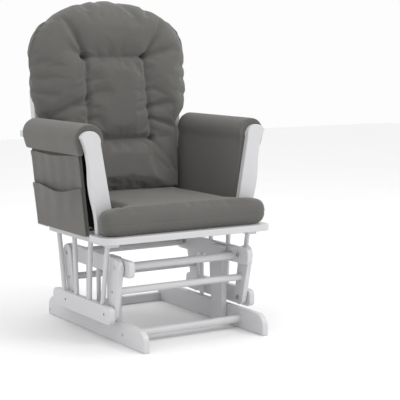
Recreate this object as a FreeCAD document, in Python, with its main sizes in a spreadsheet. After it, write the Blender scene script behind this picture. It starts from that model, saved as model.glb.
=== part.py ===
import FreeCAD, Part
import math
import os
import re

import Sketcher

# Glider nursery chair. X to the sitter's left hand, Y to the back, Z up.
# The origin is on the floor, under the middle of the whole chair. Lengths along Y
# are given from the middle of the feet, which origin_place moves. Millimetres.

SIZES = {
    # base
    "origin_place": 16.1, "base_width": 426, "board": 19, "ease": 2.5,
    "foot_length": 625, "foot_height": 62, "foot_round": 38,
    "foot_board_height": 26, "foot_board_lift": 1,
    "foot_dowel_place": -186, "foot_dowel_height": 29, "dowel_diameter": 24,
    "header_length": 413, "header_height": 49, "header_base": 200,
    "header_centre": -23.5, "header_round": 14,
    "upright_width": 60, "upright_centre": -86, "upright_lift": 6, "upright_drop": 4,
    "rod_diameter": 13, "rod_centre": -22, "rod_pitch": 67,
    "socket_depth": 9, "socket_clearance": 0.15,
    "front_dowel_place": -140, "front_dowel_height": 218,
    "rear_dowel_place": 160, "rear_dowel_height": 221,
    # linkage
    "pivot_centre": -21, "top_half_span": 156.3, "bottom_half_span": 126.4,
    "top_pivot_height": 226, "bottom_pivot_height": 87.4,
    "link_board": 17, "side_gap": 2, "link_top_radius": 27, "link_bottom_radius": 23,
    "link_dowel_diameter": 21, "link_dowel_drop": 73,
    "bolt_diameter": 8, "bolt_head_diameter": 15, "bolt_head_height": 4,
    "bush_wall": 2.5, "running_clearance": 0.06, "open_clearance": 3,
    "screw_diameter": 4, "screw_length": 38, "screw_head_diameter": 8.5, "screw_head_height": 1,
    "screw_socket": 3.6, "screw_socket_depth": 2, "bolt_socket": 7, "bolt_socket_depth": 3,
    # seat frame
    "lower_rail_length": 376, "lower_rail_centre": 5, "lower_rail_base": 59,
    "lower_rail_height": 53, "lower_rail_round": 18,
    "spindle_diameter": 14.5, "spindle_bottom_pitch": 84, "spindle_top_pitch": 106,
    "spindle_centre": 3, "spindle_tenon": 10,
    "side_rail_height": 13.5, "side_rail_width": 30, "side_rail_front": -190,
    "side_rail_rear": 214, "deck_base": 301,
    "seat_board_width": 572, "seat_board_front": -231, "seat_board_depth": 130,
    "seat_board_round": 33, "slat_width": 50, "slat_length": 506,
    "rear_rail_front": 205, "rear_rail_depth": 66, "rear_rail_width": 530,
    # arms
    "post_front": -142, "post_foot_outer": 268, "post_waist_outer": 291.5,
    "post_top_outer": 316, "post_foot_inner": 208, "post_top_inner": 257,
    "post_waist_height": 495, "post_shoulder_height": 602, "post_height": 619,
    "arm_rail_inner": 264, "arm_rail_width": 36, "arm_rail_height": 20,
    "arm_rail_base": 575, "arm_rail_rear": 318,
    "roll_height": 636, "roll_outer": 319, "roll_inner": 240, "roll_rear": 249,
    "soft_gap": 0.3, "panel_wall": 8, "inner_panel_foot": 213, "skirt_height": 548,
    "pocket_panel_foot": 270, "pocket_panel_head": 294, "pocket_panel_front": -100.5,
    "pocket_panel_length": 333, "pocket_panel_base": 310, "pocket_head": 450,
    "pocket_depth": 13, "pocket_wall": 4,
    # back
    "lean": 7.4, "back_foot_place": 241.5, "stile_outer": 264, "stile_depth": 30,
    "stile_height": 402, "back_board": 15, "lower_back_rail_height": 60,
    "lower_back_rail_lift": 30, "crest_lift": 340, "crest_height": 60, "crest_rise": 230,
    "crest_under_rise": 205, "back_slat_width": 60, "back_slat_board": 10, "back_slat_tenon": 15,
    # cushions
    "seat_cushion_width": 576, "seat_cushion_waist": 410, "seat_cushion_front": -229,
    "seat_cushion_wing": 84, "seat_cushion_rear": 231, "seat_cushion_height": 75,
    "cushion_round": 38, "back_cushion_foot": 432, "back_cushion_hip": 460,
    "back_cushion_waist": 524, "back_cushion_shoulder": 552, "back_cushion_turn": 410,
    "back_cushion_base": 78, "back_cushion_hip_lift": 285, "back_cushion_waist_lift": 330,
    "back_cushion_chest_lift": 385, "back_cushion_shoulder_lift": 505,
    "back_cushion_turn_lift": 623, "back_cushion_height": 681, "back_cushion_depth": 100,
}

doc = FreeCAD.newDocument("GliderChair")
sheet = doc.addObject("Spreadsheet::Sheet", "Sizes")
for row, (alias, value) in enumerate(SIZES.items(), start=1):
    sheet.set(f"A{row}", alias)
    sheet.set(f"B{row}", str(value))
    sheet.setAlias(f"B{row}", alias)
doc.recompute()

nodes = []
SIDES = (("left", 1), ("right", -1))
ENDS = (("front", -1), ("rear", 1))


def named(text):
    """Put the sheet's name before each alias in an expression."""
    return re.sub(r"[a-z_]{3,}", lambda word: "Sizes." + word[0] if word[0] in SIZES else word[0], str(text))


def value(text):
    """The number that an expression of aliases gives now."""
    number = sheet.evalExpression(named(text))
    return float(getattr(number, "Value", number))


def bind(item, **formulas):
    """Tie an object's properties to expressions of aliases."""
    for name, text in formulas.items():
        item.setExpression(name, named(text))


def place(item, across=0, along=0, up=0):
    """Tie the three coordinates of an object's Placement."""
    for axis, text in (("x", across), ("y", f"{along} - origin_place"), ("z", up)):
        item.setExpression("Placement.Base." + axis, named(text))


def node(item, label):
    """Name a finished sub-part, which is written to its own file."""
    item.Label = label
    nodes.append(item)
    return item


def origin_plane(body, role):
    return next(item for item in body.Origin.OriginFeatures if item.Role == role)


def arc_between(start, end, radius, turn):
    """Arc of a circle from start to end; turn 1 is anticlockwise, -1 clockwise."""
    chord = end - start
    middle = (start + end) / 2
    rise = math.sqrt(max(radius ** 2 - chord.Length ** 2 / 4, 0))
    normal = FreeCAD.Vector(-chord.y, chord.x, 0).normalize()
    centre = middle + normal * rise * turn
    first, last = (start, end) if turn > 0 else (end, start)
    angles = [math.atan2(point.y - centre.y, point.x - centre.x) for point in (first, last)]
    circle = Part.Circle(centre, FreeCAD.Vector(0, 0, 1), radius)
    return Part.ArcOfCircle(circle, angles[0], angles[1])


def outline(body, role, corners):
    """Closed sketch. Each corner is (u, v) or (u, v, radius, turn), which bends the edge that leaves it."""
    sketch = body.newObject("Sketcher::SketchObject", body.Name + "Outline")
    sketch.AttachmentSupport = [(origin_plane(body, role), "")]
    sketch.MapMode = "FlatFace"
    points = [FreeCAD.Vector(value(corner[0]), value(corner[1]), 0) for corner in corners]
    heads = []
    tails = []
    for index, corner in enumerate(corners):
        start = points[index]
        end = points[(index + 1) % len(points)]
        if len(corner) == 2:
            sketch.addGeometry(Part.LineSegment(start, end), False)
            turn = 1
        else:
            turn = corner[3]
            sketch.addGeometry(arc_between(start, end, value(corner[2]), turn), False)
        heads.append((index, 1 if turn > 0 else 2))
        tails.append((index, 2 if turn > 0 else 1))
    for index, corner in enumerate(corners):
        after = heads[(index + 1) % len(corners)]
        sketch.addConstraint(Sketcher.Constraint("Coincident", *tails[index], *after))
    for index, corner in enumerate(corners):
        for kind, text, number in (("DistanceX", corner[0], points[index].x),
                                   ("DistanceY", corner[1], points[index].y)):
            mark = sketch.addConstraint(Sketcher.Constraint(kind, -1, 1, *heads[index], number))
            sketch.setExpression(f"Constraints[{mark}]", named(text))
        if len(corner) > 2:
            mark = sketch.addConstraint(Sketcher.Constraint("Radius", index, value(corner[2])))
            sketch.setExpression(f"Constraints[{mark}]", named(corner[2]))
    return sketch


def board(name, role, corners, thickness):
    """A body padded from an outline."""
    body = doc.addObject("PartDesign::Body", name)
    sketch = outline(body, role, corners)
    pad = body.newObject("PartDesign::Pad", name + "Pad")
    pad.Profile = sketch
    bind(pad, Length=thickness)
    doc.recompute()
    return body


def corner_edges(shape, role, spots):
    """Names of the edges square to the sketch that stand on the given (u, v) spots."""
    keys = {"YZ_Plane": ("y", "z"), "XZ_Plane": ("x", "z"), "XY_Plane": ("x", "y")}[role]
    found = []
    for index, edge in enumerate(shape.Edges, start=1):
        ends = [[getattr(vertex.Point, key) for key in keys] for vertex in edge.Vertexes]
        for spot in spots:
            target = [value(text) for text in spot]
            if len(ends) == 2 and all(math.dist(end, target) < 0.01 for end in ends):
                found.append(f"Edge{index}")
    return found


def round_corners(body, role, spots, radius):
    """Fillet the upright edges of a padded outline."""
    base = body.Group[-1]
    fillet = body.newObject("PartDesign::Fillet", body.Name + "Corners")
    fillet.Base = (base, corner_edges(base.Shape, role, spots))
    bind(fillet, Radius=radius)
    doc.recompute()


def ease_edges(body, radius="ease"):
    """Round every edge a little, as a router does."""
    base = body.Group[-1]
    fillet = body.newObject("PartDesign::Fillet", body.Name + "Ease")
    fillet.Base = (base, [""])
    fillet.UseAllEdges = True
    bind(fillet, Radius=radius)
    doc.recompute()


def cylinder(name, diameter, length, across=0, along=0, up=0, axis="z"):
    """A round bar that starts at its place and runs along an axis."""
    bar = doc.addObject("Part::Cylinder", name)
    bind(bar, Radius=f"({diameter}) / 2", Height=length)
    if axis == "x":
        bar.Placement.Rotation = FreeCAD.Rotation(FreeCAD.Vector(0, 1, 0), 90)
    place(bar, across, along, up)
    return bar


def fused(name, *items):
    joined = doc.addObject("Part::MultiFuse", name)
    joined.Shapes = list(items)
    return joined


def group(name, items):
    """Separate solids in one sub-part."""
    bundle = doc.addObject("Part::Compound", name)
    bundle.Links = list(items)
    return bundle


def drilled(name, blank, tools):
    """A piece with holes or sockets cut by round tools."""
    cut = doc.addObject("Part::Cut", name)
    cut.Base = blank
    cut.Tool = tools[0] if len(tools) == 1 else fused(name + "Tools", *tools)
    doc.recompute()
    return cut


FOOT_INNER = "base_width / 2 - board"
LINK_INNER = "base_width / 2 + side_gap"
RAIL_INNER = f"{LINK_INNER} + link_board + side_gap"
RAIL_MIDDLE = f"({RAIL_INNER} + board / 2)"
RAIL_OUTER = f"({RAIL_INNER} + board)"
HEADER_TOP = "header_base + header_height"


def left_edge(inner, thickness, sign):
    """X of the lower face of a board that starts at inner on the left side, or its mirror image."""
    return inner if sign > 0 else f"-({inner}) - ({thickness})"


def vertical_rod_tool(name, sign, number):
    along = f"rod_centre + {number} * rod_pitch"
    return cylinder(name, "rod_diameter + 2 * socket_clearance",
                    f"header_base - foot_height + 2 * socket_depth",
                    f"{sign} * (base_width / 2 - board / 2)", along,
                    "foot_height - socket_depth")


def bolt_hole(name, sign, end, diameter, inner, thickness, level):
    """Tool for a pivot hole through a board."""
    span = "top_half_span" if level == "top" else "bottom_half_span"
    return cylinder(name, diameter, f"{thickness} + 2", left_edge(f"{inner} - 1", f"{thickness} + 2", sign),
                    f"pivot_centre + {end} * {span}", f"{level}_pivot_height", "x")


# ---- base ----

def make_feet():
    for side, sign in SIDES:
        half = "foot_length / 2"
        corners = [(f"-{half}", 0), (half, 0), (half, "foot_height"), (f"-{half}", "foot_height")]
        body = board("FootBlank" + side, "YZ_Plane", corners, "board")
        round_corners(body, "YZ_Plane", corners[2:], "foot_round")
        ease_edges(body)
        place(body, left_edge(FOOT_INNER, "board", sign))
        tools = [vertical_rod_tool(f"FootSocket{side}{number}", sign, number) for number in (0, 1)]
        node(drilled("Foot" + side, body, tools), "foot_" + side)


def make_headers():
    for side, sign in SIDES:
        front = "header_centre - header_length / 2"
        rear = "header_centre + header_length / 2"
        corners = [(front, "header_base"), (rear, "header_base"), (rear, HEADER_TOP), (front, HEADER_TOP)]
        body = board("HeaderBlank" + side, "YZ_Plane", corners, "board")
        round_corners(body, "YZ_Plane", corners, "header_round")
        ease_edges(body)
        place(body, left_edge(FOOT_INNER, "board", sign))
        tools = [vertical_rod_tool(f"HeaderSocket{side}{number}", sign, number) for number in (0, 1)]
        for end, way in ENDS:
            tools.append(bolt_hole(f"HeaderHole{side}{end}", sign, way,
                                   "bolt_diameter + 2 * socket_clearance", FOOT_INNER, "board", "top"))
        node(drilled("Header" + side, body, tools), "header_" + side)


def make_uprights():
    """Boards lapped on the inner faces of foot and header, and the round rods behind them."""
    rods = []
    for side, sign in SIDES:
        front = "upright_centre - upright_width / 2"
        rear = "upright_centre + upright_width / 2"
        top = f"{HEADER_TOP} - upright_drop"
        corners = [(front, "upright_lift"), (rear, "upright_lift"), (rear, top), (front, top)]
        body = board("Upright" + side, "YZ_Plane", corners, "board")
        ease_edges(body)
        place(body, left_edge("base_width / 2 - 2 * board", "board", sign))
        node(body, "front_upright_" + side)
        for number in (0, 1):
            rods.append(cylinder(f"Rod{side}{number}", "rod_diameter",
                                 "header_base - foot_height + 2 * socket_depth - 2 * socket_clearance",
                                 f"{sign} * (base_width / 2 - board / 2)",
                                 f"rod_centre + {number} * rod_pitch",
                                 "foot_height - socket_depth + socket_clearance"))
    node(group("UprightRods", rods), "upright_rods")


def make_cross_members():
    inner_width = "base_width - 2 * board"
    for label, along, up in (("front_header_dowel", "front_dowel_place", "front_dowel_height"),
                             ("rear_header_dowel", "rear_dowel_place", "rear_dowel_height"),
                             ("front_foot_dowel", "foot_dowel_place", "foot_dowel_height")):
        dowel = cylinder(label.title().replace("_", ""), "dowel_diameter", inner_width,
                         f"-({FOOT_INNER})", along, up, "x")
        node(dowel, label)
    bar = doc.addObject("Part::Box", "RearFootBoard")
    bind(bar, Length=inner_width, Width="board", Height="foot_board_height")
    place(bar, f"-({FOOT_INNER})", "foot_length / 2 - board", "foot_board_lift")
    node(bar, "rear_foot_board")


def socketed(name, blank, size, depth, start, sign, along, up):
    """A head with a hexagonal socket; start is where the socket begins on the left side."""
    key = doc.addObject("Part::Prism", name + "Key")
    key.Polygon = 6
    bind(key, Circumradius=f"{size} / 2", Height=depth)
    key.Placement.Rotation = FreeCAD.Rotation(FreeCAD.Vector(0, 1, 0), 90)
    place(key, left_edge(start, depth, sign), along, up)
    cut = doc.addObject("Part::Cut", name)
    cut.Base = blank
    cut.Tool = key
    return cut


def screw(name, sign, face, along, up):
    """A screw driven inwards through a side board, with its head on the board's outer face."""
    head = cylinder(name + "Head", "screw_head_diameter", "screw_head_height",
                    left_edge(face, "screw_head_height", sign), along, up, "x")
    shank = cylinder(name + "Shank", "screw_diameter", "screw_length",
                     left_edge(f"{face} - screw_length", "screw_length", sign), along, up, "x")
    return socketed(name, fused(name + "Blank", head, shank), "screw_socket", "screw_socket_depth",
                    f"{face} + screw_head_height - screw_socket_depth", sign, along, up)


def make_base_screws():
    screws = []
    for side, sign in SIDES:
        for name, along, up in (("FrontDowelScrew", "front_dowel_place", "front_dowel_height"),
                                ("RearDowelScrew", "rear_dowel_place", "rear_dowel_height"),
                                ("FootDowelScrew", "foot_dowel_place", "foot_dowel_height"),
                                ("FootBoardScrew", "foot_length / 2 - board / 2",
                                 "foot_board_lift + foot_board_height / 2")):
            screws.append(screw(name + side, sign, "base_width / 2", along, up))
    node(group("BaseScrews", screws), "base_screws")


def pivot_bolt(name, sign, end, level):
    """A bolt with its round head on the inner side, along X through a board and a link."""
    span = "top_half_span" if level == "top" else "bottom_half_span"
    along = f"pivot_centre + {end} * {span}"
    up = f"{level}_pivot_height"
    if level == "top":
        seat = FOOT_INNER
        length = f"board + side_gap + link_board"
    else:
        seat = f"{LINK_INNER} - running_clearance"
        length = "link_board + side_gap + board / 2"
    head = cylinder(name + "Head", "bolt_head_diameter", "bolt_head_height",
                    left_edge(f"{seat} - bolt_head_height", "bolt_head_height", sign), along, up, "x")
    shank = cylinder(name + "Shank", "bolt_diameter", length, left_edge(seat, length, sign), along, up, "x")
    return socketed(name, fused(name + "Blank", head, shank), "bolt_socket", "bolt_socket_depth",
                    f"{seat} - bolt_head_height", sign, along, up)


def make_pivot_bolts():
    for level in ("top", "bottom"):
        bolts = []
        for side, sign in SIDES:
            for end, way in ENDS:
                bolts.append(pivot_bolt(f"{level.title()}Bolt{side}{end}", sign, way, level))
        node(group(level.title() + "Bolts", bolts), level + "_pivot_bolts")


# ---- links ----

def link_blank(name, way):
    """Tapered board with round ends about its two pivots."""
    body = doc.addObject("PartDesign::Body", name)
    sketch = body.newObject("Sketcher::SketchObject", name + "Outline")
    sketch.AttachmentSupport = [(origin_plane(body, "YZ_Plane"), "")]
    sketch.MapMode = "FlatFace"
    ends = (("top", f"pivot_centre + {way} * top_half_span", "top_pivot_height", 0.0),
            ("bottom", f"pivot_centre + {way} * bottom_half_span", "bottom_pivot_height", math.pi))
    centres = []
    for level, along, up, first in ends:
        centre = FreeCAD.Vector(value(along), value(up), 0)
        centres.append(centre)
        circle = Part.Circle(centre, FreeCAD.Vector(0, 0, 1), value(f"link_{level}_radius"))
        sketch.addGeometry(Part.ArcOfCircle(circle, first, first + math.pi), False)
    reach = [FreeCAD.Vector(value("link_top_radius"), 0, 0), FreeCAD.Vector(value("link_bottom_radius"), 0, 0)]
    sketch.addGeometry(Part.LineSegment(centres[0] - reach[0], centres[1] - reach[1]), False)
    sketch.addGeometry(Part.LineSegment(centres[1] + reach[1], centres[0] + reach[0]), False)
    for first, second in (((0, 2), (2, 1)), ((2, 2), (1, 1)), ((1, 2), (3, 1)), ((3, 2), (0, 1))):
        sketch.addConstraint(Sketcher.Constraint("Tangent", *first, *second))
    for index, (level, along, up, first) in enumerate(ends):
        for kind, text in (("DistanceX", along), ("DistanceY", up)):
            mark = sketch.addConstraint(Sketcher.Constraint(kind, -1, 1, index, 3, value(text)))
            sketch.setExpression(f"Constraints[{mark}]", named(text))
        radius = f"link_{level}_radius"
        mark = sketch.addConstraint(Sketcher.Constraint("Radius", index, value(radius)))
        sketch.setExpression(f"Constraints[{mark}]", named(radius))
    pad = body.newObject("PartDesign::Pad", name + "Pad")
    pad.Profile = sketch
    bind(pad, Length="link_board")
    doc.recompute()
    return body


def link_dowel_spot(way):
    """Where the cross dowel meets the link's centre line."""
    slope = "(top_half_span - bottom_half_span) / (top_pivot_height - bottom_pivot_height)"
    return f"pivot_centre + {way} * (top_half_span - link_dowel_drop * {slope})"


def make_links():
    """Front and rear pair. The rear pair's lower hole is the linkage's open pivot, so it has no bush."""
    bush = "bolt_diameter + 2 * running_clearance + 2 * bush_wall"
    for end, way in ENDS:
        bushes = []
        screws = []
        for side, sign in SIDES:
            body = link_blank(f"Link{end}{side}", way)
            ease_edges(body)
            place(body, left_edge(LINK_INNER, "link_board", sign))
            tools = []
            for level in ("top", "bottom"):
                is_open = end == "rear" and level == "bottom"
                hole = "bolt_diameter + 2 * open_clearance" if is_open else bush
                name = f"{level.title()}Hole{end}{side}"
                tools.append(bolt_hole(name, sign, way, hole, LINK_INNER, "link_board", level))
                if not is_open:
                    bushes.append(make_bush(f"{level.title()}Bush{end}{side}", sign, way, bush, level))
            node(drilled(f"Link{end}{side}Drilled", body, tools), f"{end}_link_{side}")
            screws.append(screw(f"LinkScrew{end}{side}", sign, f"{LINK_INNER} + link_board",
                                link_dowel_spot(way), "top_pivot_height - link_dowel_drop"))
        node(group(f"{end.title()}Bushes", bushes), f"{end}_link_bushes")
        node(group(f"{end.title()}LinkScrews", screws), f"{end}_link_screws")
        dowel = cylinder(f"{end.title()}LinkDowel", "link_dowel_diameter", f"2 * ({LINK_INNER})",
                         f"-({LINK_INNER})", link_dowel_spot(way),
                         "top_pivot_height - link_dowel_drop", "x")
        node(dowel, f"{end}_link_dowel")


def make_bush(name, sign, way, outer, level):
    """A plain bush, pressed into the link, that the bolt turns in."""
    span = "top_half_span" if level == "top" else "bottom_half_span"
    along = f"pivot_centre + {way} * {span}"
    up = f"{level}_pivot_height"
    start = left_edge(LINK_INNER, "link_board", sign)
    ring = doc.addObject("Part::Cut", name)
    ring.Base = cylinder(name + "Outer", outer, "link_board", start, along, up, "x")
    ring.Tool = cylinder(name + "Bore", "bolt_diameter + 2 * running_clearance", "link_board",
                         start, along, up, "x")
    return ring


# ---- seat frame ----

def spindle_ends(number):
    """Y of a spindle's lower and upper ends; numbers run from the front."""
    step = number - 2.5
    return (f"spindle_centre + {step} * spindle_bottom_pitch",
            f"spindle_centre + {step} * spindle_top_pitch")


SPINDLE_FOOT = "lower_rail_base + lower_rail_height"
SPINDLE_HEAD = "deck_base - side_rail_height"


def spindle_bar(name, diameter, sign, number):
    """A leaning round bar whose axis runs from the lower rail to the side rail, with a tenon at each end."""
    bottom, top = spindle_ends(number)
    rise = f"({SPINDLE_HEAD} - ({SPINDLE_FOOT}))"
    run = f"({top} - ({bottom}))"
    length = f"sqrt({rise} ^ 2 + {run} ^ 2)"
    bar = doc.addObject("Part::Cylinder", name)
    bind(bar, Radius=f"({diameter}) / 2", Height=f"{length} + 2 * spindle_tenon")
    way = 1 if number > 2 else -1
    bar.Placement.Rotation = FreeCAD.Rotation(FreeCAD.Vector(-way, 0, 0), 10)
    bar.setExpression("Placement.Rotation.Angle", named(f"atan({way} * {run} / {rise})"))
    place(bar, f"{sign} * {RAIL_MIDDLE}", f"{bottom} - spindle_tenon * {run} / {length}",
          f"{SPINDLE_FOOT} - spindle_tenon * {rise} / {length}")
    return bar


def make_lower_rails():
    for side, sign in SIDES:
        front = "lower_rail_centre - lower_rail_length / 2"
        rear = "lower_rail_centre + lower_rail_length / 2"
        top = "lower_rail_base + lower_rail_height"
        corners = [(front, "lower_rail_base"), (rear, "lower_rail_base"), (rear, top), (front, top)]
        body = board("LowerRailBlank" + side, "YZ_Plane", corners, "board")
        round_corners(body, "YZ_Plane", corners, "lower_rail_round")
        ease_edges(body)
        place(body, left_edge(RAIL_INNER, "board", sign))
        tools = [spindle_bar(f"RailSocket{side}{number}", "spindle_diameter + 2 * socket_clearance",
                             sign, number) for number in (1, 2, 3, 4)]
        for end, way in ENDS:
            tools.append(bolt_hole(f"RailHole{side}{end}", sign, way,
                                   "bolt_diameter + 2 * socket_clearance", RAIL_INNER, "board", "bottom"))
        node(drilled("LowerRail" + side, body, tools), "lower_rail_" + side)


def make_side_rails():
    for side, sign in SIDES:
        bar = doc.addObject("Part::Box", "SideRailBlank" + side)
        bind(bar, Length="side_rail_width", Width="side_rail_rear - side_rail_front", Height="side_rail_height")
        place(bar, left_edge(f"{RAIL_OUTER} - side_rail_width", "side_rail_width", sign),
              "side_rail_front", SPINDLE_HEAD)
        tools = [spindle_bar(f"SideSocket{side}{number}", "spindle_diameter + 2 * socket_clearance",
                             sign, number) for number in (1, 2, 3, 4)]
        node(drilled("SideRail" + side, bar, tools), "side_rail_" + side)


def make_spindles():
    for side, sign in SIDES:
        for number in (1, 2, 3, 4):
            node(spindle_bar(f"Spindle{side}{number}", "spindle_diameter", sign, number),
                 f"spindle_{side}_{number}")


def make_deck():
    half = "seat_board_width / 2"
    rear = "seat_board_front + seat_board_depth"
    corners = [(f"-{half}", "seat_board_front"), (half, "seat_board_front"), (half, rear), (f"-{half}", rear)]
    body = board("SeatBoard", "XY_Plane", corners, "board")
    round_corners(body, "XY_Plane", corners, "seat_board_round")
    ease_edges(body)
    place(body, up="deck_base")
    node(body, "seat_board")
    gap = f"(rear_rail_front - ({rear}) - 3 * slat_width) / 4"
    for number in (1, 2, 3):
        slat = doc.addObject("Part::Box", f"SeatSlat{number}")
        bind(slat, Length="slat_length", Width="slat_width", Height="board")
        place(slat, "-slat_length / 2",
              f"{rear} + {number} * {gap} + {number - 1} * slat_width", "deck_base")
        node(slat, f"seat_slat_{number}")
    rail = doc.addObject("Part::Box", "RearSeatRail")
    bind(rail, Length="rear_rail_width", Width="rear_rail_depth", Height="board")
    place(rail, "-rear_rail_width / 2", "rear_rail_front", "deck_base")
    node(rail, "rear_seat_rail")


def make_seat_screws():
    """Screws driven down through the slats into the side rails, with their heads sunk."""
    rear = "seat_board_front + seat_board_depth"
    gap = f"(rear_rail_front - ({rear}) - 3 * slat_width) / 4"
    spots = [f"{rear} + {number} * {gap} + {number - 0.5} * slat_width" for number in (1, 2, 3)]
    screws = []
    for side, sign in SIDES:
        for number, along in enumerate(spots):
            across = f"{sign} * ({RAIL_OUTER} - side_rail_width * 3 / 4)"
            head = cylinder(f"DeckScrewHead{side}{number}", "screw_head_diameter", "screw_head_height",
                            across, along, "deck_base + board - screw_head_height")
            shank = cylinder(f"DeckScrewShank{side}{number}", "screw_diameter", "board + side_rail_height / 2",
                             across, along, "deck_base - side_rail_height / 2")
            screws.append(fused(f"DeckScrew{side}{number}", head, shank))
    node(group("SeatScrews", screws), "seat_screws")


# ---- arms ----

def curve_radius(run, rise):
    """Radius of an arc that starts upright and moves run sideways over rise."""
    return f"((({run}) ^ 2 + ({rise}) ^ 2) / (2 * ({run})))"


def make_arm_posts():
    """S-curved board across the front of each arm, flaring outwards to a round head."""
    foot = "deck_base + board"
    bend = curve_radius("(post_waist_outer - post_foot_outer) / 2", f"(post_waist_height - ({foot})) / 2")
    flare = curve_radius("post_top_outer - post_waist_outer", "post_shoulder_height - post_waist_height")
    head_half = "((post_top_outer - post_top_inner) / 2)"
    head_rise = "(post_height - post_shoulder_height)"
    dome = f"(({head_half} ^ 2 + {head_rise} ^ 2) / (2 * {head_rise}))"
    middle = ("(post_foot_outer + post_waist_outer) / 2", f"({foot} + post_waist_height) / 2")
    for side, sign in SIDES:
        corners = [("post_foot_inner", foot), ("post_foot_outer", foot, bend, -1),
                   (middle[0], middle[1], bend, 1), ("post_waist_outer", "post_waist_height", flare, -1),
                   ("post_top_outer", "post_shoulder_height", dome, 1),
                   ("post_top_inner", "post_shoulder_height")]
        if sign < 0:
            mirrored = [(f"-({corner[0]})", *corner[1:3], *(-turn for turn in corner[3:])) for corner in corners]
            corners = mirrored
        body = board("ArmPost" + side, "XZ_Plane", corners, "board")
        ease_edges(body)
        place(body, along="post_front + board")
        node(body, "arm_post_" + side)


def make_arm_rails():
    start = "post_front + board"
    for side, sign in SIDES:
        across = left_edge("arm_rail_inner", "arm_rail_width", sign)
        right = f"({across}) + arm_rail_width"
        corners = [(across, start), (right, start), (right, "arm_rail_rear"), (across, "arm_rail_rear")]
        body = board("ArmRail" + side, "XY_Plane", corners, "arm_rail_height")
        ease_edges(body)
        place(body, up="arm_rail_base")
        node(body, "arm_rail_" + side)


def make_arm_pads():
    """Padded roll over the arm rail, with the inner panel that hangs from it."""
    foot = "deck_base + board + soft_gap"
    rail_top = "arm_rail_base + arm_rail_height + soft_gap"
    slot_inner = "arm_rail_inner - soft_gap"
    slot_outer = "arm_rail_inner + arm_rail_width + soft_gap"
    middle = "((roll_inner + roll_outer) / 2)"
    half = "((roll_outer - roll_inner) / 2)"
    rise = "(roll_height - arm_rail_base)"
    crown = f"(({half} ^ 2 + {rise} ^ 2) / (2 * {rise}))"
    for side, sign in SIDES:
        corners = [("inner_panel_foot", foot), ("inner_panel_foot + panel_wall", foot),
                   (slot_inner, "skirt_height + panel_wall"), (slot_inner, rail_top),
                   (slot_outer, rail_top), (slot_outer, "skirt_height"),
                   ("roll_outer - panel_wall", "skirt_height"),
                   ("roll_outer", "arm_rail_base", crown, 1), (middle, "roll_height", crown, 1),
                   ("roll_inner", "arm_rail_base")]
        if sign < 0:
            corners = [(f"-({corner[0]})", *corner[1:3], *(-turn for turn in corner[3:])) for corner in corners]
        body = board("ArmPad" + side, "XZ_Plane", corners, "roll_rear - (post_front + board) - soft_gap")
        place(body, along="roll_rear")
        node(body, "arm_pad_" + side)


def make_pocket_panels():
    """Outer panel under each arm, and the patch pocket sewn to it, open at the top."""
    rise = "(skirt_height - pocket_panel_base - soft_gap)"
    lean = f"((pocket_panel_head - pocket_panel_foot) / {rise})"
    top = "(skirt_height - soft_gap)"
    floor = "(pocket_panel_base + panel_wall)"

    def across(height, out):
        return f"pocket_panel_foot + ({height} - pocket_panel_base) * {lean} + {out}"

    def wedge(name, sign, low, high, inner, outer, margin):
        corners = [(across(low, inner), low), (across(low, outer), low),
                   (across(high, outer), high), (across(high, inner), high)]
        if sign < 0:
            corners = [(f"-({corner[0]})", corner[1]) for corner in corners]
        made = board(name, "XZ_Plane", corners, f"pocket_panel_length - 2 * ({margin})")
        place(made, along=f"pocket_panel_front + pocket_panel_length - ({margin})")
        return made

    patches = []
    for side, sign in SIDES:
        panel = wedge("PocketPanel" + side, sign, "pocket_panel_base", top, "0", "panel_wall", "0")
        node(panel, "pocket_panel_" + side)
        patch = wedge("PatchShell" + side, sign, "pocket_panel_base", "pocket_head", "panel_wall",
                      "panel_wall + pocket_depth + pocket_wall", "0")
        hollow = wedge("PatchHollow" + side, sign, floor, "(pocket_head + panel_wall)",
                       "panel_wall / 2", "panel_wall + pocket_depth", "panel_wall")
        patches.append(drilled("Patch" + side, patch, [hollow]))
    node(group("PocketPatches", patches), "pocket_patches")


# ---- back ----

def lean_back(item, across=0, forward=0, lift=0):
    """Place a piece of the back in the leaning frame, whose front plane starts on the rear seat rail."""
    item.Placement.Rotation = FreeCAD.Rotation(FreeCAD.Vector(-1, 0, 0), 10)
    item.setExpression("Placement.Rotation.Angle", named("lean"))
    place(item, across, f"back_foot_place + ({lift}) * sin(lean * 1 deg) - ({forward}) * cos(lean * 1 deg)",
          f"deck_base + board + ({lift}) * cos(lean * 1 deg) + ({forward}) * sin(lean * 1 deg)")


def make_stiles():
    """Leaning side boards of the back, cut level at the foot."""
    drift = "stile_height * tan(lean * 1 deg)"
    depth = "stile_depth / cos(lean * 1 deg)"
    for side, sign in SIDES:
        foot = "deck_base + board"
        top = f"{foot} + stile_height"
        corners = [("back_foot_place", foot), (f"back_foot_place + {depth}", foot),
                   (f"back_foot_place + {depth} + {drift}", top), (f"back_foot_place + {drift}", top)]
        body = board("BackStile" + side, "YZ_Plane", corners, "board")
        ease_edges(body)
        place(body, left_edge("stile_outer - board", "board", sign))
        node(body, "back_stile_" + side)


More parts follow.
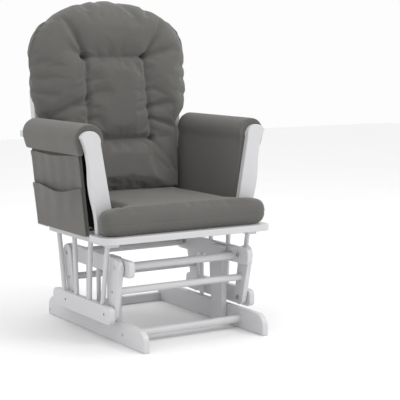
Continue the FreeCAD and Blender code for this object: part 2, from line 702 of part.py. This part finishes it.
def make_back_rails():
    """Lower back rail, arched crest rail and the slats between them."""
    width = "2 * (stile_outer - board)"
    rail = doc.addObject("Part::Box", "LowerBackRail")
    bind(rail, Length=width, Width="back_board", Height="lower_back_rail_height")
    lean_back(rail, "board - stile_outer", "-(stile_depth - back_board) / 2", "lower_back_rail_lift")
    node(rail, "lower_back_rail")
    half = "(stile_outer - board)"
    arch = f"(({half} ^ 2 + crest_rise ^ 2) / (2 * crest_rise))"
    under = f"(({half} ^ 2 + crest_under_rise ^ 2) / (2 * crest_under_rise))"
    corners = [(half, 0), (half, "crest_height", arch, 1), (0, "crest_height + crest_rise", arch, 1),
               (f"-{half}", "crest_height"), (f"-{half}", 0, under, -1), (0, "crest_under_rise", under, -1)]
    crest = board("CrestRail", "XZ_Plane", corners, "back_board")
    ease_edges(crest)
    lean_back(crest, 0, "-(stile_depth + back_board) / 2", "crest_lift")
    node(crest, "crest_rail")
    bottom = "lower_back_rail_lift + lower_back_rail_height"
    top = "crest_lift + crest_under_rise + back_slat_tenon"
    gap = "(stile_outer - board) / 2"
    for number in (1, 2, 3):
        slat = doc.addObject("Part::Box", f"BackSlatBlank{number}")
        bind(slat, Length="back_slat_width", Width="back_slat_board", Height=f"{top} - ({bottom})")
        lean_back(slat, f"{number - 2} * {gap} - back_slat_width / 2",
                  "-(stile_depth - back_slat_board) / 2", bottom)
        node(drilled(f"BackSlat{number}", slat, [crest]), f"back_slat_{number}")


# ---- cushions ----

def make_seat_cushion():
    """T-shaped box cushion whose wings reach in front of the arm posts."""
    half = "seat_cushion_width / 2"
    waist = "seat_cushion_waist / 2"
    wing = "seat_cushion_front + seat_cushion_wing"
    corners = [(f"-{half}", "seat_cushion_front"), (half, "seat_cushion_front"), (half, wing),
               (waist, wing), (waist, "seat_cushion_rear"), (f"-{waist}", "seat_cushion_rear"),
               (f"-{waist}", wing), (f"-{half}", wing)]
    body = board("SeatCushion", "XY_Plane", corners, "seat_cushion_height")
    round_corners(body, "XY_Plane", corners[:3] + corners[4:6] + corners[7:], "cushion_round")
    place(body, up="deck_base + board + soft_gap")
    node(body, "seat_cushion")


def make_back_cushion():
    """Leaning cushion with an arched head, narrower where it goes down between the arms."""
    levels = (("foot", "back_cushion_base"), ("hip", "back_cushion_hip_lift"),
              ("waist", "back_cushion_waist_lift"), ("shoulder", "back_cushion_chest_lift"))
    right = [(f"back_cushion_{name} / 2", lift) for name, lift in levels]
    left = [(f"-back_cushion_{name} / 2", lift) for name, lift in reversed(levels)]
    half = "back_cushion_shoulder / 2"
    turn = "back_cushion_turn / 2"
    bend = curve_radius(f"{half} - {turn}", "back_cushion_turn_lift - back_cushion_shoulder_lift")
    rise = "(back_cushion_height - back_cushion_turn_lift)"
    arch = f"((({turn}) ^ 2 + {rise} ^ 2) / (2 * {rise}))"
    head = [(half, "back_cushion_shoulder_lift", bend, 1), (turn, "back_cushion_turn_lift", arch, 1),
            (0, "back_cushion_height", arch, 1), (f"-{turn}", "back_cushion_turn_lift", bend, 1),
            (f"-{half}", "back_cushion_shoulder_lift")]
    corners = right + head + left
    body = board("BackCushion", "XZ_Plane", corners, "back_cushion_depth")
    lean_back(body, 0, "soft_gap", 0)
    node(body, "back_cushion")


def check_document():
    """Stop before anything is written if an object failed."""
    doc.recompute()
    failed = [item.Name for item in doc.Objects if "Invalid" in item.State or "Error" in item.State]
    if failed:
        raise RuntimeError("failed objects: " + ", ".join(failed))
    labels = [item.Label for item in nodes]
    if len(set(labels)) != len(labels):
        raise RuntimeError("two sub-parts share a label")
    for item in nodes:
        if item.Shape.isNull() or not item.Shape.isValid() or not item.Shape.Solids:
            raise RuntimeError("bad shape: " + item.Label)


def export_nodes():
    os.makedirs("parts", exist_ok=True)
    for item in nodes:
        item.Shape.exportStep(os.path.join("parts", item.Label + ".step"))
        print(item.Label, len(item.Shape.Solids), round(item.Shape.Volume))


make_feet()
make_headers()
make_uprights()
make_cross_members()
make_base_screws()
make_pivot_bolts()
make_links()
make_lower_rails()
make_side_rails()
make_spindles()
make_deck()
make_seat_screws()
make_arm_posts()
make_arm_rails()
make_arm_pads()
make_pocket_panels()
make_stiles()
make_back_rails()
make_seat_cushion()
make_back_cushion()
check_document()
export_nodes()
print(len(nodes), "sub-parts")
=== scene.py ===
import math
import bpy
import numpy as np
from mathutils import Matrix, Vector
from mathutils.kdtree import KDTree


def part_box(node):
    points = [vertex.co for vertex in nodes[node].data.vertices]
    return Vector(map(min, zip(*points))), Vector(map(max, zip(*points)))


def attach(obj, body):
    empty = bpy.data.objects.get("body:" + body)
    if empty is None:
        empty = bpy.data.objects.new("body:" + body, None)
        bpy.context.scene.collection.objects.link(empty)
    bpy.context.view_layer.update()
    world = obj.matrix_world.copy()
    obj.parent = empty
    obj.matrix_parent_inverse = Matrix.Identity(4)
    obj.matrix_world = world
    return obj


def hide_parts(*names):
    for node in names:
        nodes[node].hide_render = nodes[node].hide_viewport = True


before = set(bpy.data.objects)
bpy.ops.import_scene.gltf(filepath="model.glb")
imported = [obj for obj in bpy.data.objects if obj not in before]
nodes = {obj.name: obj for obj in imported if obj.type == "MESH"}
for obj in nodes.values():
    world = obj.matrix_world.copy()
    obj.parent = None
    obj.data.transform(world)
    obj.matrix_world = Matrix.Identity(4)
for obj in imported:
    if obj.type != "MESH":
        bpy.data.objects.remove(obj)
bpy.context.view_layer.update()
scene = bpy.context.scene
footCentre = -0.0161  # Y of the middle of the feet, in the frame
print("frame loaded:", len(nodes), "nodes")


# camera, floor and light

view = {"spot": (-1.8753, -3.2580 + footCentre, 0.8694), "turn": -32.1, "tilt": -7.3, "lens": 110.9}
studio = {"floorSize": 14, "worldGrey": 1.0, "worldStrength": 0.98}
lamps = [
    # name, place, size, watts
    ("keyLamp", (1.9, -2.6, 3.2), 1.6, 34),
    ("topLamp", (0.2, 0.2, 3.6), 1.8, 22),
]


def makeCamera():
    bpy.ops.object.camera_add(location=view["spot"])
    camera = bpy.context.object
    camera.rotation_euler = (math.radians(90 + view["tilt"]), 0, math.radians(view["turn"]))
    camera.data.lens = view["lens"]
    camera.data.sensor_width = 36
    scene.camera = camera


def makeLamps():
    for name, place, size, watts in lamps:
        bpy.ops.object.light_add(type="AREA", location=place)
        lamp = bpy.context.object
        lamp.name = name
        lamp.data.size = size
        lamp.data.energy = watts
        lamp.rotation_euler = (Vector((0, 0, 0.5)) - Vector(place)).to_track_quat("-Z", "Y").to_euler()
    world = bpy.data.worlds.new("studioAir")
    world.use_nodes = True
    air = world.node_tree.nodes["Background"]
    air.inputs["Color"].default_value = (studio["worldGrey"],) * 3 + (1,)
    air.inputs["Strength"].default_value = studio["worldStrength"]
    scene.world = world
    scene.view_settings.view_transform = "Standard"


# materials

class Wire:
    # an output socket that takes part in sums
    def __init__(self, finish, socket):
        self.finish = finish
        self.socket = socket

    def sum(self, operation, first, second):
        return self.finish.node("ShaderNodeMath", {"operation": operation}, {0: first, 1: second})

    def __add__(self, other):
        return self.sum("ADD", self, other)

    def __sub__(self, other):
        return self.sum("SUBTRACT", self, other)

    def __rsub__(self, other):
        return self.sum("SUBTRACT", other, self)

    def __mul__(self, other):
        return self.sum("MULTIPLY", self, other)

    __radd__ = __add__
    __rmul__ = __mul__


class Finish:
    # one material, where node() makes any node, sets it and links it
    def __init__(self, name, **fixed):
        self.material = bpy.data.materials.new(name)
        self.material.use_nodes = True
        self.tree = self.material.node_tree
        self.shader = self.tree.nodes["Principled BSDF"]
        for socket, number in fixed.items():
            self.feed(socket.replace("_", " "), number)

    def feed(self, socket, value):
        self.put(self.shader.inputs[socket], value)

    def put(self, socket, value):
        if isinstance(value, Wire):
            self.tree.links.new(value.socket, socket)
        else:
            socket.default_value = value

    def node(self, kind, settings=None, inputs=None, output=0):
        made = self.tree.nodes.new(kind)
        for name, value in (settings or {}).items():
            setattr(made, name, value)
        for socket, value in (inputs or {}).items():
            self.put(made.inputs[socket], value)
        return Wire(self, made.outputs[output])

    def coords(self, scale=(1, 1, 1)):
        raw = self.node("ShaderNodeTexCoord", output="Object")
        return self.node("ShaderNodeMapping", inputs={"Vector": raw, "Scale": scale})

    def noise(self, where, scale, detail=2.0, rough=0.5):
        inputs = {"Vector": where, "Scale": scale, "Detail": detail, "Roughness": rough}
        return self.node("ShaderNodeTexNoise", inputs=inputs)

    def blendColours(self, amount, first, second):
        # the colour sockets of a mix node are its seventh and eighth inputs and its third output
        inputs = {0: amount, 6: first, 7: second}
        return self.node("ShaderNodeMix", {"data_type": "RGBA"}, inputs, 2)

    def bump(self, height, distance, strength=1.0):
        inputs = {"Height": height, "Distance": distance, "Strength": strength}
        self.feed("Normal", self.node("ShaderNodeBump", inputs=inputs))


paint = {
    "light": (0.63, 0.63, 0.64, 1), "shade": (0.55, 0.55, 0.565, 1),
    "gloss": 0.34, "glossSpread": 0.16, "grainPitch": 260, "stretch": 0.045,
}


def makePaint(name, along):
    # sprayed white paint with the wood's grain just telling through it
    finish = Finish(name, IOR=1.48, Coat_Weight=0.12, Coat_Roughness=0.25)
    scale = [1.0, 1.0, 1.0]
    scale["xyz".index(along)] = paint["stretch"]
    streaked = finish.coords(tuple(scale))
    plain = finish.coords()
    grain = finish.noise(streaked, paint["grainPitch"], 4.0, 0.62)
    cloud = finish.noise(plain, 9.0, 3.0)
    peel = finish.noise(plain, 900.0, 1.0)
    finish.feed("Base Color", finish.blendColours(cloud * 0.55 + grain * 0.30, paint["light"], paint["shade"]))
    finish.feed("Roughness", paint["gloss"] - 0.08 + cloud * paint["glossSpread"] + grain * 0.05)
    finish.bump(grain * 0.8 + peel * 0.2, 0.00028, 0.55)
    return finish.material


cloth = {
    "light": (0.150, 0.147, 0.139, 1), "dark": (0.098, 0.096, 0.091, 1),
    "threadPitch": 0.0011, "nap": 38.0, "sheen": 0.32,
}


def makeCloth(name, light, dark, sheen):
    # brushed microfibre: fine threads, a soft nap and hand marks
    finish = Finish(name, Sheen_Weight=sheen, Sheen_Roughness=0.45, IOR=1.38)
    finish.feed("Sheen Tint", (0.92, 0.90, 0.86, 1))
    plain = finish.coords()
    turn = 2 * math.pi / cloth["threadPitch"]
    spread = finish.node("ShaderNodeVectorMath", {"operation": "SCALE"}, {0: plain, "Scale": turn})
    parts = [finish.node("ShaderNodeSeparateXYZ", {}, {0: spread}, axis) for axis in range(3)]
    waves = [finish.node("ShaderNodeMath", {"operation": "SINE"}, {0: part}) for part in parts]
    weave = waves[0] * waves[1] + waves[1] * waves[2] + waves[2] * waves[0]
    fibre = finish.noise(plain, 1500.0, 3.0, 0.7)
    nap = finish.noise(plain, cloth["nap"], 4.0, 0.65)
    marks = finish.noise(finish.coords((1, 1, 0.45)), 7.0, 2.0)
    shade = nap * 0.50 + marks * 0.42 + fibre * 0.22 + weave * 0.05
    finish.feed("Base Color", finish.blendColours(shade - 0.12, dark, light))
    finish.feed("Roughness", 0.78 + nap * 0.2)
    finish.bump(weave * 0.35 + fibre * 0.55 + nap * 0.9, 0.0006, 0.5)
    return finish.material


def makeMetal():
    # zinc-plated steel, finely turned
    finish = Finish("satinZinc", Metallic=1.0)
    plain = finish.coords()
    rings = finish.noise(plain, 700.0, 3.0)
    tarnish = finish.noise(plain, 45.0, 2.0)
    finish.feed("Base Color", finish.blendColours(tarnish, (0.62, 0.62, 0.63, 1), (0.42, 0.42, 0.43, 1)))
    finish.feed("Roughness", 0.26 + rings * 0.2 + tarnish * 0.12)
    finish.bump(rings, 0.0001, 0.5)
    return finish.material


def makeFloor():
    finish = Finish("paleFloor", Roughness=0.85)
    grey = finish.noise(finish.coords(), 3.0, 2.0)
    finish.feed("Base Color", finish.blendColours(grey, (0.93, 0.93, 0.93, 1), (0.90, 0.90, 0.90, 1)))
    return finish.material


makeCamera()
makeLamps()
bpy.ops.mesh.primitive_plane_add(size=studio["floorSize"], location=(0, 0, -0.0005))
floor = bpy.context.object
floor.name = "floor"
floor.data.materials.append(makeFloor())
whitePaint = {axis: makePaint("whitePaint" + axis.upper(), axis) for axis in "xyz"}
greyCloth = makeCloth("greyMicrofibre", cloth["light"], cloth["dark"], cloth["sheen"])
# near-black cloth that paints the shadow inside the arm's hollow: painted shade
hollowShadeCloth = makeCloth("hollowShadeBlack", (0.012, 0.012, 0.012, 1), (0.006, 0.006, 0.006, 1), 0.02)
zinc = makeMetal()
print("studio and materials ready")


# the wooden frame and its fittings keep their own shapes

alongX = ("dowel", "foot_board", "seat_board", "seat_slat", "seat_rail", "crest", "back_rail")
alongY = ("foot_left", "foot_right", "header_left", "header_right", "lower_rail", "side_rail", "arm_rail")


def paintFrame():
    for name, node in nodes.items():
        if any(word in name for word in ("bolts", "screws", "bushes")):
            finish = zinc
        elif any(word in name for word in alongX):
            finish = whitePaint["x"]
        elif any(word in name for word in alongY):
            finish = whitePaint["y"]
        else:
            finish = whitePaint["z"]
        for slot in node.material_slots:
            slot.material = finish


paintFrame()
print("frame painted")


# helpers for the soft pieces

def only(piece):
    bpy.ops.object.select_all(action="DESELECT")
    piece.select_set(True)
    bpy.context.view_layer.objects.active = piece


def applied(piece, kind, **settings):
    only(piece)
    modifier = piece.modifiers.new("step", kind)
    for name, value in settings.items():
        setattr(modifier, name, value)
    bpy.ops.object.modifier_apply(modifier=modifier.name)


def readPoints(piece):
    points = np.zeros(len(piece.data.vertices) * 3)
    piece.data.vertices.foreach_get("co", points)
    return points.reshape(-1, 3)


def readNormals(piece):
    normals = np.zeros(len(piece.data.vertices) * 3)
    piece.data.vertices.foreach_get("normal", normals)
    return normals.reshape(-1, 3)


def writePoints(piece, points):
    piece.data.vertices.foreach_set("co", np.ascontiguousarray(points, dtype=np.float64).ravel())
    piece.data.update()


def softCopy(node, name):
    # a welded copy of the plain solid, to be made soft
    piece = bpy.data.objects.new(name, nodes[node].data.copy())
    scene.collection.objects.link(piece)
    piece.data.materials.clear()
    only(piece)
    if piece.data.has_custom_normals:
        bpy.ops.mesh.customdata_custom_splitnormals_clear()
    bpy.ops.object.mode_set(mode="EDIT")
    bpy.ops.mesh.select_all(action="SELECT")
    bpy.ops.mesh.remove_doubles(threshold=0.00002)
    bpy.ops.object.mode_set(mode="OBJECT")
    return piece


fillingFrames = 20
leastPin = 0.02


def puff(piece, pressure, cap, slack, pins=None, stiffness=15, bending=0.5):
    # blow the cover up like a filled cushion, but move no point further than cap
    before = readPoints(piece)
    only(piece)
    modifier = piece.modifiers.new("filling", "CLOTH")
    settings = modifier.settings
    settings.quality = 5
    settings.mass = 0.2
    settings.tension_stiffness = stiffness
    settings.compression_stiffness = stiffness
    settings.shear_stiffness = stiffness * 0.4
    settings.bending_stiffness = bending
    settings.use_pressure = True
    settings.uniform_pressure_force = pressure
    settings.shrink_min = -slack
    settings.effector_weights.gravity = 0
    if pins is not None:
        group = piece.vertex_groups.new(name="pins")
        for index in np.nonzero(pins > leastPin)[0]:
            group.add([int(index)], float(min(pins[index], 1)), "REPLACE")
        settings.vertex_group_mass = "pins"
    modifier.point_cache.frame_start = 1
    modifier.point_cache.frame_end = fillingFrames
    for number in range(1, fillingFrames + 1):
        scene.frame_set(number)
    bpy.ops.object.modifier_apply(modifier=modifier.name)
    scene.frame_set(1)
    after = readPoints(piece)
    move = after - before
    length = np.linalg.norm(move, axis=1)
    share = np.minimum(length, cap) / np.maximum(length, 1e-9)
    writePoints(piece, before + move * share[:, None])


def segmentDistance(points, start, end):
    # distance in a plane from points (n, 2) to a segment, and how far along it they lie
    start = np.array(start, float)
    run = np.array(end, float) - start
    along = np.clip(((points - start) @ run) / (run @ run), 0, 1)
    return np.linalg.norm(points - start - along[:, None] * run, axis=1), along


def smoothPart(piece, amount, repeat):
    applied(piece, "SMOOTH", factor=amount, iterations=repeat)


def finishSoft(piece, node):
    only(piece)
    bpy.ops.object.shade_smooth()
    if not piece.data.materials:
        piece.data.materials.append(greyCloth)
    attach(piece, "seat")
    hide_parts(node)


# seat cushion

seatCushion = {
    "voxel": 0.0055, "nose": 0.033, "leastHeight": 0.12, "inset": 0.005,
    "pressure": 3.0, "cap": 0.010, "slack": 0.015, "crown": 0.008,
    "seamDrop": 0.004, "seamWidth": 0.0026, "seamDepth": 0.0015,
}


def wallDistance(points, normals):
    # how far each point lies, seen from above, from the upright wall of the piece
    wall = np.nonzero(np.abs(normals[:, 2]) < 0.3)[0]
    tree = KDTree(len(wall))
    for number, index in enumerate(wall):
        tree.insert((points[index, 0], points[index, 1], 0), number)
    tree.balance()
    return np.array([tree.find((x, y, 0))[2] for x, y, z in points])


def makeSeatCushion():
    size = seatCushion
    low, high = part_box("seat_cushion")
    piece = softCopy("seat_cushion", "seatCushion")
    applied(piece, "REMESH", mode="VOXEL", voxel_size=size["voxel"])
    points = readPoints(piece)
    normals = readNormals(piece)
    flat = normals * [1, 1, 0]
    inward = np.clip(wallDistance(points, normals) / size["nose"], 0, 1)
    middle = (low.z + high.z) / 2
    roundEdge = np.sqrt(1 - (1 - inward) ** 2).clip(size["leastHeight"])
    points[:, 2] = middle + (points[:, 2] - middle) * roundEdge
    writePoints(piece, points - flat * size["inset"])
    smoothPart(piece, 0.5, 6)
    applied(piece, "REMESH", mode="VOXEL", voxel_size=size["voxel"])
    puff(piece, size["pressure"], size["cap"], size["slack"])
    points = readPoints(piece)
    points[:, 2] = np.maximum(points[:, 2], low.z)  # it lies flat on the deck
    points[:, 2] = np.minimum(points[:, 2], high.z + size["crown"])
    writePoints(piece, points)
    smoothPart(piece, 0.4, 2)
    applied(piece, "SUBSURF", levels=1, render_levels=1)
    points = readPoints(piece)
    normals = readNormals(piece)
    side = np.clip((1 - np.abs(normals[:, 2])) * 2 - 0.6, 0, 1)
    near = np.exp(-((points[:, 2] - middle + size["seamDrop"]) / size["seamWidth"]) ** 2) * side
    points = points - normals * (near * size["seamDepth"])[:, None]
    points[:, 2] = np.maximum(points[:, 2], low.z)
    writePoints(piece, points)
    finishSoft(piece, "seat_cushion")
    print("seat cushion:", len(piece.data.polygons), "faces")


# back cushion, worked in its own leaning frame: across, lift and forward

backCushion = {
    "voxel": 0.0055, "lean": math.radians(7.4), "foot": (0, 0.2415 + footCentre, 0.320),
    "pressure": 2.4, "cap": 0.013, "slack": 0.03, "stiffness": 12, "bending": 0.12,
    "rim": 0.085, "rimDepth": 0.16, "crown": 0.70, "footCrown": 0.34, "footHeight": 0.16,
    # outline as (half width, lift), foot to crown
    "outline": [
        (0.213, 0.078), (0.228, 0.285), (0.262, 0.330), (0.276, 0.385), (0.277, 0.505),
        (0.270, 0.537), (0.257, 0.567), (0.237, 0.596), (0.205, 0.624), (0.165, 0.648),
        (0.120, 0.667), (0.060, 0.678), (0, 0.681),
    ],
    # sewn seams: start, end, depth
    "seams": [
        ((-0.104, 0.500), (-0.112, 0.236), 0.009), ((0.104, 0.500), (0.112, 0.236), 0.010),
        ((-0.104, 0.500), (0.104, 0.500), 0.012), ((-0.112, 0.236), (0.112, 0.236), 0.014),
    ],
    # pulls that run out from the ends of the seams: start, end, depth
    "pulls": [
        ((-0.104, 0.500), (-0.168, 0.628), 0.024), ((0.104, 0.500), (0.176, 0.600), 0.024),
        ((-0.104, 0.500), (-0.172, 0.532), 0.020), ((0.104, 0.500), (0.238, 0.527), 0.020),
        ((-0.104, 0.500), (-0.150, 0.490), 0.010), ((0.104, 0.500), (0.150, 0.486), 0.010),
        ((-0.108, 0.368), (-0.245, 0.312), 0.015), ((0.108, 0.335), (0.205, 0.352), 0.015),
        ((0.110, 0.300), (0.225, 0.262), 0.012), ((-0.109, 0.345), (-0.180, 0.352), 0.009),
        ((-0.106, 0.420), (-0.060, 0.432), 0.006), ((-0.107, 0.375), (-0.050, 0.392), 0.008),
        ((-0.110, 0.300), (-0.065, 0.312), 0.006), ((0.106, 0.390), (0.150, 0.398), 0.006),
        ((0.112, 0.236), (0.108, 0.085), 0.008), ((-0.112, 0.236), (-0.104, 0.085), 0.008),
        ((0.112, 0.236), (0.170, 0.130), 0.009), ((-0.112, 0.236), (-0.165, 0.120), 0.007),
        ((-0.277, 0.440), (-0.215, 0.425), 0.010), ((-0.277, 0.480), (-0.225, 0.487), 0.008),
        ((-0.275, 0.395), (-0.205, 0.372), 0.010), ((0.277, 0.470), (0.225, 0.462), 0.010),
        ((0.277, 0.430), (0.235, 0.420), 0.008), ((0.272, 0.375), (0.220, 0.385), 0.008),
        ((-0.090, 0.678), (-0.080, 0.640), 0.006), ((0.060, 0.680), (0.050, 0.645), 0.006),
        ((0.140, 0.660), (0.118, 0.625), 0.006),
    ],
    "buttons": [(-0.108, 0.368), (0.108, 0.335)],
    "seamWidth": 0.0085, "seamPin": 0.0040, "creaseWidth": 0.0034, "creaseDepth": 0.0028,
    "pullWidth": 0.006, "pullSpread": 0.010, "pullPin": 0.0035, "pullHold": 0.5,
    "buttonDepth": 0.004, "buttonWidth": 0.012, "buttonPin": 0.006,
    # the flat back is held while the cover fills, but for its edge
    "backDepth": 0.012, "backHold": 0.9, "backEdge": 0.02, "backGap": 0.0008,
}


def toLean(points):
    tilt = backCushion["lean"]
    offset = points - np.array(backCushion["foot"])
    return np.stack([
        offset[:, 0],
        offset[:, 1] * math.sin(tilt) + offset[:, 2] * math.cos(tilt),
        -offset[:, 1] * math.cos(tilt) + offset[:, 2] * math.sin(tilt),
    ], axis=1)


def fromLean(local):
    tilt = backCushion["lean"]
    offset = np.stack([
        local[:, 0],
        local[:, 1] * math.sin(tilt) - local[:, 2] * math.cos(tilt),
        local[:, 1] * math.cos(tilt) + local[:, 2] * math.sin(tilt),
    ], axis=1)
    return offset + np.array(backCushion["foot"])


def makeBackCushion():
    size = backCushion
    piece = softCopy("back_cushion", "backCushion")
    applied(piece, "REMESH", mode="VOXEL", voxel_size=size["voxel"])
    local = toLean(readPoints(piece))
    rim = size["outline"] + [(-across, lift) for across, lift in reversed(size["outline"][:-1])]
    distance = np.full(len(local), 9.0)
    for start, end in zip(rim, rim[1:]):  # the foot's edge stays full, against the seat
        distance = np.minimum(distance, segmentDistance(local[:, :2], start, end)[0])
    depth = local[:, 2].max()
    low = size["outline"][0][1]
    inside = np.clip(distance / size["rim"], 0, 1)
    # fuller at the foot, where it sits on the seat, and thin round the head
    foot = np.clip(1 - (local[:, 1] - low) / size["footHeight"], 0, 1)
    rise = size["crown"] + size["footCrown"] * foot - size["rimDepth"]
    forward = local[:, 2] * (size["rimDepth"] + rise * np.sqrt(1 - (1 - inside) ** 2))
    pins = np.zeros(len(local))
    front = np.clip(local[:, 2] / depth * 2 - 1, 0, 1)
    for start, end, sink in size["seams"]:
        gap = segmentDistance(local[:, :2], start, end)[0]
        forward -= front * sink * np.exp(-(gap / size["seamWidth"]) ** 2)
        pins = np.maximum(pins, front * (gap < size["seamPin"]))
    for start, end, sink in size["pulls"]:
        gap, along = segmentDistance(local[:, :2], start, end)
        width = size["pullWidth"] + size["pullSpread"] * along
        forward -= front * sink * (1 - along) * np.exp(-(gap / width) ** 2)
        pins = np.maximum(pins, front * (gap < size["pullPin"]) * (1 - along) * size["pullHold"])
    for spot in size["buttons"]:
        gap = np.linalg.norm(local[:, :2] - np.array(spot), axis=1)
        forward -= front * size["buttonDepth"] * np.exp(-(gap / size["buttonWidth"]) ** 2)
        pins = np.maximum(pins, front * (gap < size["buttonPin"]))
    back = local[:, 2] < size["backDepth"]
    pins = np.maximum(pins, back * size["backHold"] * (distance > size["backEdge"]))
    local[:, 2] = np.maximum(forward, 0.0)
    writePoints(piece, fromLean(local))
    smoothPart(piece, 0.5, 2)
    puff(piece, size["pressure"], size["cap"], size["slack"], pins, size["stiffness"], size["bending"])
    local = toLean(readPoints(piece))
    local[:, 2] = np.maximum(local[:, 2], size["backGap"])  # it leans on the slats
    writePoints(piece, fromLean(local))
    smoothPart(piece, 0.3, 1)
    applied(piece, "SUBSURF", levels=1, render_levels=1)
    # a fine stitched crease along each seam
    local = toLean(readPoints(piece))
    faces = np.clip(-readNormals(piece)[:, 1] * 2, 0, 1)
    for start, end, sink in size["seams"]:
        gap = segmentDistance(local[:, :2], start, end)[0]
        local[:, 2] -= faces * size["creaseDepth"] * np.exp(-(gap / size["creaseWidth"]) ** 2)
    writePoints(piece, fromLean(local))
    finishSoft(piece, "back_cushion")
    print("back cushion:", len(piece.data.polygons), "faces")


# arm pads: padded roll and inner panel, with near-black cloth as painted shade where it faces the arm's hollow

armPad = {"voxel": 0.0045, "swell": 0.0022, "flatEnd": 0.006, "hollowShadeReach": 0.268, "hollowShadeTop": 0.562}


def makeArmPad(side, sign):
    size = armPad
    piece = softCopy("arm_pad_" + side, "armPad" + side.title())
    applied(piece, "REMESH", mode="VOXEL", voxel_size=size["voxel"])
    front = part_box("arm_pad_" + side)[0].y
    smoothPart(piece, 0.6, 8)
    points = readPoints(piece) + readNormals(piece) * size["swell"]
    # the roll's front end lies flat on the post and keeps a firm round edge
    points[points[:, 1] < front + size["flatEnd"], 1] = front
    writePoints(piece, points)
    applied(piece, "SUBSURF", levels=1, render_levels=1)
    piece.data.materials.append(greyCloth)
    piece.data.materials.append(hollowShadeCloth)
    # faces that look into the arm's hollow get the near-black painted shade
    for face in piece.data.polygons:
        outward = face.normal.x * sign > 0.5
        inner = face.center.x * sign < size["hollowShadeReach"] and face.center.z < size["hollowShadeTop"]
        face.material_index = 1 if outward and inner else 0
    finishSoft(piece, "arm_pad_" + side)
    print("arm pad", side)


# pocket panels: an outer cloth panel with its flat upper pocket, and the lower pocket patches

pocket = {
    "foot": 0.270, "head": 0.294, "low": 0.310, "high": 0.5475, "front": -0.1005, "length": 0.333,
    "panel": 0.006, "cloth": 0.0028, "lowerTop": 0.452, "lowerBulge": 0.012, "upperBulge": 0.004,
    "hem": 0.0012, "hemDrop": 0.016, "hemEdge": 0.0012, "quilt": 0.002,
    # the open edge sags in the middle and slopes down to the rear, and the cloth ripples
    "upperSag": 0.006, "upperSlope": 0.008, "upperRipple": 0.0007,
    "lowerSag": 0.016, "lowerSlope": 0.012, "lowerRipple": 0.0012,
}


def clothGrid(name, columns, rows, place, thickness):
    # a grid whose points go where place(u, v) says, thickened and rounded
    bpy.ops.mesh.primitive_grid_add(x_subdivisions=columns, y_subdivisions=rows, size=1)
    piece = bpy.context.object
    piece.name = name
    points = readPoints(piece)
    writePoints(piece, np.array([place(x + 0.5, y + 0.5) for x, y, z in points]))
    applied(piece, "SOLIDIFY", thickness=thickness, offset=0)
    applied(piece, "BEVEL", width=thickness * 0.3, segments=2, limit_method="ANGLE")
    return piece


def pocketSpot(sign, u, height, out):
    size = pocket
    lean = (size["head"] - size["foot"]) / (size["high"] - size["low"])
    across = size["foot"] + (height - size["low"]) * lean + out
    return (sign * across, size["front"] + footCentre + u * size["length"], height)


def hemStep(depth):
    # the turned-over hem stands proud of the cloth under it
    return pocket["hem"] / (1 + math.exp((depth - pocket["hemDrop"]) / pocket["hemEdge"]))


def joined(parts):
    only(parts[0])
    for part in parts:
        part.select_set(True)
    bpy.ops.object.join()
    piece = bpy.context.object
    bpy.ops.object.mode_set(mode="EDIT")
    bpy.ops.mesh.select_all(action="SELECT")
    bpy.ops.mesh.normals_make_consistent(inside=False)
    bpy.ops.object.mode_set(mode="OBJECT")
    return piece


def makePocketPanel(side, sign):
    size = pocket

    def panelPlace(u, v):
        height = size["low"] + v * (size["high"] - size["low"])
        quilt = size["quilt"] * math.sin(math.pi * u) * math.sin(math.pi * v)
        return pocketSpot(sign, u, height, size["panel"] / 2 + quilt)

    def upperPlace(u, v):
        sag = size["upperSag"] * math.sin(math.pi * u) ** 2 + size["upperSlope"] * u
        height = size["low"] + 0.0015 + v * (size["high"] - sag - size["low"] - 0.002)
        lip = size["upperBulge"] * v ** 4 * math.sin(math.pi * u)
        ripple = size["upperRipple"] * math.sin(u * 31 + v * 2.0) * v
        hem = hemStep((1 - v) * (size["high"] - size["low"]))
        out = size["panel"] + size["cloth"] * 0.6 + lip + ripple + hem
        return pocketSpot(sign, 0.004 + u * 0.992, height, out)

    name = "pocketPanel" + side.title()
    piece = joined([
        clothGrid(name, 30, 22, panelPlace, size["panel"]),
        clothGrid(name + "Upper", 48, 90, upperPlace, size["cloth"]),
    ])
    finishSoft(piece, "pocket_panel_" + side)
    print("pocket panel", side)


def makePocketPatches():
    size = pocket
    parts = []
    for sign in (1, -1):
        def lowerPlace(u, v):
            middle = math.sin(math.pi * min(u * 1.25, 1)) ** 1.5
            sag = size["lowerSag"] * middle + size["lowerSlope"] * u
            height = size["low"] - 0.0005 + v * (size["lowerTop"] - sag - size["low"])
            bulge = size["lowerBulge"] * v ** 1.6 * math.sin(math.pi * u) ** 0.7
            ripple = size["lowerRipple"] * math.sin(u * 24 + v * 3.5) * v
            hem = hemStep((1 - v) * (size["lowerTop"] - size["low"]))
            out = size["panel"] + size["cloth"] * 2.0 + bulge + ripple + hem
            return pocketSpot(sign, 0.002 + u * 0.996, height, out)

        parts.append(clothGrid("pocketPatches", 48, 70, lowerPlace, size["cloth"]))
    finishSoft(joined(parts), "pocket_patches")
    print("pocket patches")


makeSeatCushion()
makeBackCushion()
for side, sign in (("left", 1), ("right", -1)):
    makeArmPad(side, sign)
    makePocketPanel(side, sign)
makePocketPatches()

scene.frame_set(1)
